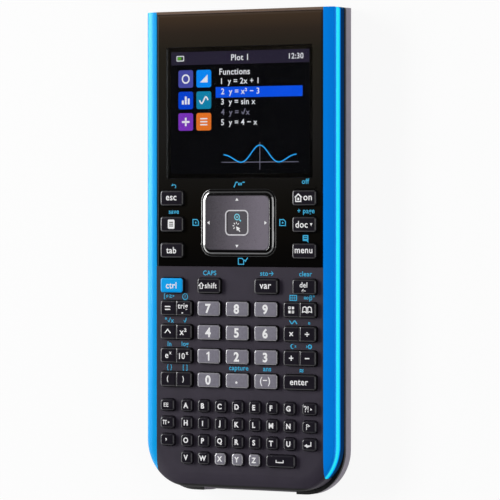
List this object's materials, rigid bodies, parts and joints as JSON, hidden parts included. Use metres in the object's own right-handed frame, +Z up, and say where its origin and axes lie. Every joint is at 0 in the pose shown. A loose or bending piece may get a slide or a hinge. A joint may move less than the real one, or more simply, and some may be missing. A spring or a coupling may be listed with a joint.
{
  "type": "graphing calculator",
  "caption": "Handheld graphing calculator with a colour display, touchpad and sprung keys, its slide-on hard cover stored on the back.",
  "frame": {"origin": "middle of the whole object in plan, on the stored slide cover's outer face", "axes": "+X across to the right as seen by the user, +Y along the length towards the top end, +Z up through the front face"},
  "size_m": [0.0892, 0.1922, 0.0181],
  "materials": {
    "case_abs": "moulded ABS, fine matte texture",
    "gloss_panel": "polished black acrylic",
    "lens": "clear display window",
    "display": "display glass on a pressed frame",
    "trim_blue": "metallic blue lacquer on a moulded trim",
    "touchpad_matte": "finely grained matte plastic",
    "key_black": "satin moulded key cap, white legend",
    "key_grey": "satin moulded key cap, white legend",
    "key_blue": "satin moulded key cap, white legend",
    "cover_grey": "moulded hard shell, fine matte texture",
    "screw_steel": "zinc plated steel",
    "socket_steel": "tin plated steel shell",
    "battery_wrap": "plain plastic wrap, no print",
    "foot_rubber": "moulded rubber",
    "board": "solder resist on glass fibre board",
    "silicone": "moulded silicone",
    "light_pipe": "milky light pipe",
    "dock_black": "moulded nylon"
  },
  "bodies": {
    "handheld": {"front_case": "case_abs", "face_panel": "gloss_panel", "display_lens": "lens", "display_module": "display", "side_trim_left": "trim_blue", "side_trim_right": "trim_blue", "touchpad_ring": "gloss_panel", "rear_case": "case_abs", "battery_cover": "case_abs", "battery_cover_screws": "screw_steel", "battery": "battery_wrap", "case_screws": "screw_steel", "rubber_feet": "foot_rubber", "main_board": "board", "keypad_membrane": "silicone", "usb_socket": "socket_steel", "status_light": "light_pipe", "dock_connector": "dock_black"},
    "key_escape": {"key_escape": "key_black"},
    "key_notes": {"key_notes": "key_black"},
    "key_tab": {"key_tab": "key_black"},
    "key_on": {"key_on": "key_black"},
    "key_documents": {"key_documents": "key_black"},
    "key_menu": {"key_menu": "key_black"},
    "key_control": {"key_control": "key_blue"},
    "key_shift": {"key_shift": "key_black"},
    "key_variable": {"key_variable": "key_black"},
    "key_delete": {"key_delete": "key_black"},
    "key_enter": {"key_enter": "key_black"},
    "key_seven": {"key_seven": "key_grey"},
    "key_eight": {"key_eight": "key_grey"},
    "key_nine": {"key_nine": "key_grey"},
    "key_four": {"key_four": "key_grey"},
    "key_five": {"key_five": "key_grey"},
    "key_six": {"key_six": "key_grey"},
    "key_one": {"key_one": "key_grey"},
    "key_two": {"key_two": "key_grey"},
    "key_three": {"key_three": "key_grey"},
    "key_zero": {"key_zero": "key_grey"},
    "key_point": {"key_point": "key_grey"},
    "key_negative": {"key_negative": "key_grey"},
    "letter_keys_a_to_g": {"letter_keys_a_to_g": "key_black"},
    "letter_keys_h_to_n": {"letter_keys_h_to_n": "key_black"},
    "letter_keys_o_to_u": {"letter_keys_o_to_u": "key_black"},
    "letter_keys_v_w": {"letter_keys_v_w": "key_black"},
    "letter_keys_x_y_z": {"letter_keys_x_y_z": "key_grey"},
    "key_space": {"key_space": "key_black"},
    "side_keys_left": {"side_keys_left": "key_black"},
    "side_keys_right": {"side_keys_right": "key_black"},
    "key_equals_trig": {"key_equals_trig": "key_black"},
    "key_power_square": {"key_power_square": "key_black"},
    "key_exponentials": {"key_exponentials": "key_black"},
    "key_brackets": {"key_brackets": "key_black"},
    "key_template_catalog": {"key_template_catalog": "key_black"},
    "key_times_divide": {"key_times_divide": "key_black"},
    "key_plus_minus": {"key_plus_minus": "key_black"},
    "touchpad": {"touchpad": "touchpad_matte"},
    "reset_button": {"reset_button": "dock_black"},
    "slide_cover": {"slide_cover": "cover_grey"}
  },
  "joints": [
    {"name": "key_escape_press", "type": "slide", "parent": "handheld", "child": "key_escape", "axis": [0, 0, -1], "range_m": [0, 0.0006], "stiffness_N_per_m": 900, "springref_m": -0.0003},
    {"name": "key_notes_press", "type": "slide", "parent": "handheld", "child": "key_notes", "axis": [0, 0, -1], "range_m": [0, 0.0006], "stiffness_N_per_m": 900, "springref_m": -0.0003},
    {"name": "key_tab_press", "type": "slide", "parent": "handheld", "child": "key_tab", "axis": [0, 0, -1], "range_m": [0, 0.0006], "stiffness_N_per_m": 900, "springref_m": -0.0003},
    {"name": "key_on_press", "type": "slide", "parent": "handheld", "child": "key_on", "axis": [0, 0, -1], "range_m": [0, 0.0006], "stiffness_N_per_m": 900, "springref_m": -0.0003},
    {"name": "key_documents_press", "type": "slide", "parent": "handheld", "child": "key_documents", "axis": [0, 0, -1], "range_m": [0, 0.0006], "stiffness_N_per_m": 900, "springref_m": -0.0003},
    {"name": "key_menu_press", "type": "slide", "parent": "handheld", "child": "key_menu", "axis": [0, 0, -1], "range_m": [0, 0.0006], "stiffness_N_per_m": 900, "springref_m": -0.0003},
    {"name": "key_control_press", "type": "slide", "parent": "handheld", "child": "key_control", "axis": [0, 0, -1], "range_m": [0, 0.0006], "stiffness_N_per_m": 900, "springref_m": -0.0003},
    {"name": "key_shift_press", "type": "slide", "parent": "handheld", "child": "key_shift", "axis": [0, 0, -1], "range_m": [0, 0.0006], "stiffness_N_per_m": 900, "springref_m": -0.0003},
    {"name": "key_variable_press", "type": "slide", "parent": "handheld", "child": "key_variable", "axis": [0, 0, -1], "range_m": [0, 0.0006], "stiffness_N_per_m": 900, "springref_m": -0.0003},
    {"name": "key_delete_press", "type": "slide", "parent": "handheld", "child": "key_delete", "axis": [0, 0, -1], "range_m": [0, 0.0006], "stiffness_N_per_m": 900, "springref_m": -0.0003},
    {"name": "key_enter_press", "type": "slide", "parent": "handheld", "child": "key_enter", "axis": [0, 0, -1], "range_m": [0, 0.0006], "stiffness_N_per_m": 900, "springref_m": -0.0003},
    {"name": "key_seven_press", "type": "slide", "parent": "handheld", "child": "key_seven", "axis": [0, 0, -1], "range_m": [0, 0.0006], "stiffness_N_per_m": 900, "springref_m": -0.0003},
    {"name": "key_eight_press", "type": "slide", "parent": "handheld", "child": "key_eight", "axis": [0, 0, -1], "range_m": [0, 0.0006], "stiffness_N_per_m": 900, "springref_m": -0.0003},
    {"name": "key_nine_press", "type": "slide", "parent": "handheld", "child": "key_nine", "axis": [0, 0, -1], "range_m": [0, 0.0006], "stiffness_N_per_m": 900, "springref_m": -0.0003},
    {"name": "key_four_press", "type": "slide", "parent": "handheld", "child": "key_four", "axis": [0, 0, -1], "range_m": [0, 0.0006], "stiffness_N_per_m": 900, "springref_m": -0.0003},
    {"name": "key_five_press", "type": "slide", "parent": "handheld", "child": "key_five", "axis": [0, 0, -1], "range_m": [0, 0.0006], "stiffness_N_per_m": 900, "springref_m": -0.0003},
    {"name": "key_six_press", "type": "slide", "parent": "handheld", "child": "key_six", "axis": [0, 0, -1], "range_m": [0, 0.0006], "stiffness_N_per_m": 900, "springref_m": -0.0003},
    {"name": "key_one_press", "type": "slide", "parent": "handheld", "child": "key_one", "axis": [0, 0, -1], "range_m": [0, 0.0006], "stiffness_N_per_m": 900, "springref_m": -0.0003},
    {"name": "key_two_press", "type": "slide", "parent": "handheld", "child": "key_two", "axis": [0, 0, -1], "range_m": [0, 0.0006], "stiffness_N_per_m": 900, "springref_m": -0.0003},
    {"name": "key_three_press", "type": "slide", "parent": "handheld", "child": "key_three", "axis": [0, 0, -1], "range_m": [0, 0.0006], "stiffness_N_per_m": 900, "springref_m": -0.0003},
    {"name": "key_zero_press", "type": "slide", "parent": "handheld", "child": "key_zero", "axis": [0, 0, -1], "range_m": [0, 0.0006], "stiffness_N_per_m": 900, "springref_m": -0.0003},
    {"name": "key_point_press", "type": "slide", "parent": "handheld", "child": "key_point", "axis": [0, 0, -1], "range_m": [0, 0.0006], "stiffness_N_per_m": 900, "springref_m": -0.0003},
    {"name": "key_negative_press", "type": "slide", "parent": "handheld", "child": "key_negative", "axis": [0, 0, -1], "range_m": [0, 0.0006], "stiffness_N_per_m": 900, "springref_m": -0.0003},
    {"name": "letter_keys_a_to_g_press", "type": "slide", "parent": "handheld", "child": "letter_keys_a_to_g", "axis": [0, 0, -1], "range_m": [0, 0.0006], "stiffness_N_per_m": 900, "springref_m": -0.0003},
    {"name": "letter_keys_h_to_n_press", "type": "slide", "parent": "handheld", "child": "letter_keys_h_to_n", "axis": [0, 0, -1], "range_m": [0, 0.0006], "stiffness_N_per_m": 900, "springref_m": -0.0003},
    {"name": "letter_keys_o_to_u_press", "type": "slide", "parent": "handheld", "child": "letter_keys_o_to_u", "axis": [0, 0, -1], "range_m": [0, 0.0006], "stiffness_N_per_m": 900, "springref_m": -0.0003},
    {"name": "letter_keys_v_w_press", "type": "slide", "parent": "handheld", "child": "letter_keys_v_w", "axis": [0, 0, -1], "range_m": [0, 0.0006], "stiffness_N_per_m": 900, "springref_m": -0.0003},
    {"name": "letter_keys_x_y_z_press", "type": "slide", "parent": "handheld", "child": "letter_keys_x_y_z", "axis": [0, 0, -1], "range_m": [0, 0.0006], "stiffness_N_per_m": 900, "springref_m": -0.0003},
    {"name": "key_space_press", "type": "slide", "parent": "handheld", "child": "key_space", "axis": [0, 0, -1], "range_m": [0, 0.0006], "stiffness_N_per_m": 900, "springref_m": -0.0003},
    {"name": "side_keys_left_press", "type": "slide", "parent": "handheld", "child": "side_keys_left", "axis": [0, 0, -1], "range_m": [0, 0.0006], "stiffness_N_per_m": 900, "springref_m": -0.0003},
    {"name": "side_keys_right_press", "type": "slide", "parent": "handheld", "child": "side_keys_right", "axis": [0, 0, -1], "range_m": [0, 0.0006], "stiffness_N_per_m": 900, "springref_m": -0.0003},
    {"name": "key_equals_trig_rock", "type": "hinge", "parent": "handheld", "child": "key_equals_trig", "pos_m": [-0.029, -0.02281, 0.013], "axis": [0, 1, 0], "range_deg": [-2.5, 2.5], "stiffness_Nm_per_rad": 0.05},
    {"name": "key_power_square_rock", "type": "hinge", "parent": "handheld", "child": "key_power_square", "pos_m": [-0.029, -0.03232, 0.013], "axis": [0, 1, 0], "range_deg": [-2.5, 2.5], "stiffness_Nm_per_rad": 0.05},
    {"name": "key_exponentials_rock", "type": "hinge", "parent": "handheld", "child": "key_exponentials", "pos_m": [-0.029, -0.04181, 0.013], "axis": [0, 1, 0], "range_deg": [-2.5, 2.5], "stiffness_Nm_per_rad": 0.05},
    {"name": "key_brackets_rock", "type": "hinge", "parent": "handheld", "child": "key_brackets", "pos_m": [-0.029, -0.05131, 0.013], "axis": [0, 1, 0], "range_deg": [-2.5, 2.5], "stiffness_Nm_per_rad": 0.05},
    {"name": "key_template_catalog_rock", "type": "hinge", "parent": "handheld", "child": "key_template_catalog", "pos_m": [0.029, -0.02281, 0.013], "axis": [0, 1, 0], "range_deg": [-2.5, 2.5], "stiffness_Nm_per_rad": 0.05},
    {"name": "key_times_divide_rock", "type": "hinge", "parent": "handheld", "child": "key_times_divide", "pos_m": [0.029, -0.03232, 0.013], "axis": [0, 1, 0], "range_deg": [-2.5, 2.5], "stiffness_Nm_per_rad": 0.05},
    {"name": "key_plus_minus_rock", "type": "hinge", "parent": "handheld", "child": "key_plus_minus", "pos_m": [0.029, -0.04181, 0.013], "axis": [0, 1, 0], "range_deg": [-2.5, 2.5], "stiffness_Nm_per_rad": 0.05},
    {"name": "touchpad_click", "type": "slide", "parent": "handheld", "child": "touchpad", "axis": [0, 0, -1], "range_m": [0, 0.0004], "stiffness_N_per_m": 2500, "springref_m": -0.0002},
    {"name": "reset_press", "type": "slide", "parent": "handheld", "child": "reset_button", "axis": [0, 0, 1], "range_m": [0, 0.0005], "stiffness_N_per_m": 900, "springref_m": -0.0003},
    {"name": "cover_slide", "type": "slide", "parent": "handheld", "child": "slide_cover", "axis": [0, -1, 0], "range_m": [0, 0.195]}
  ]
}
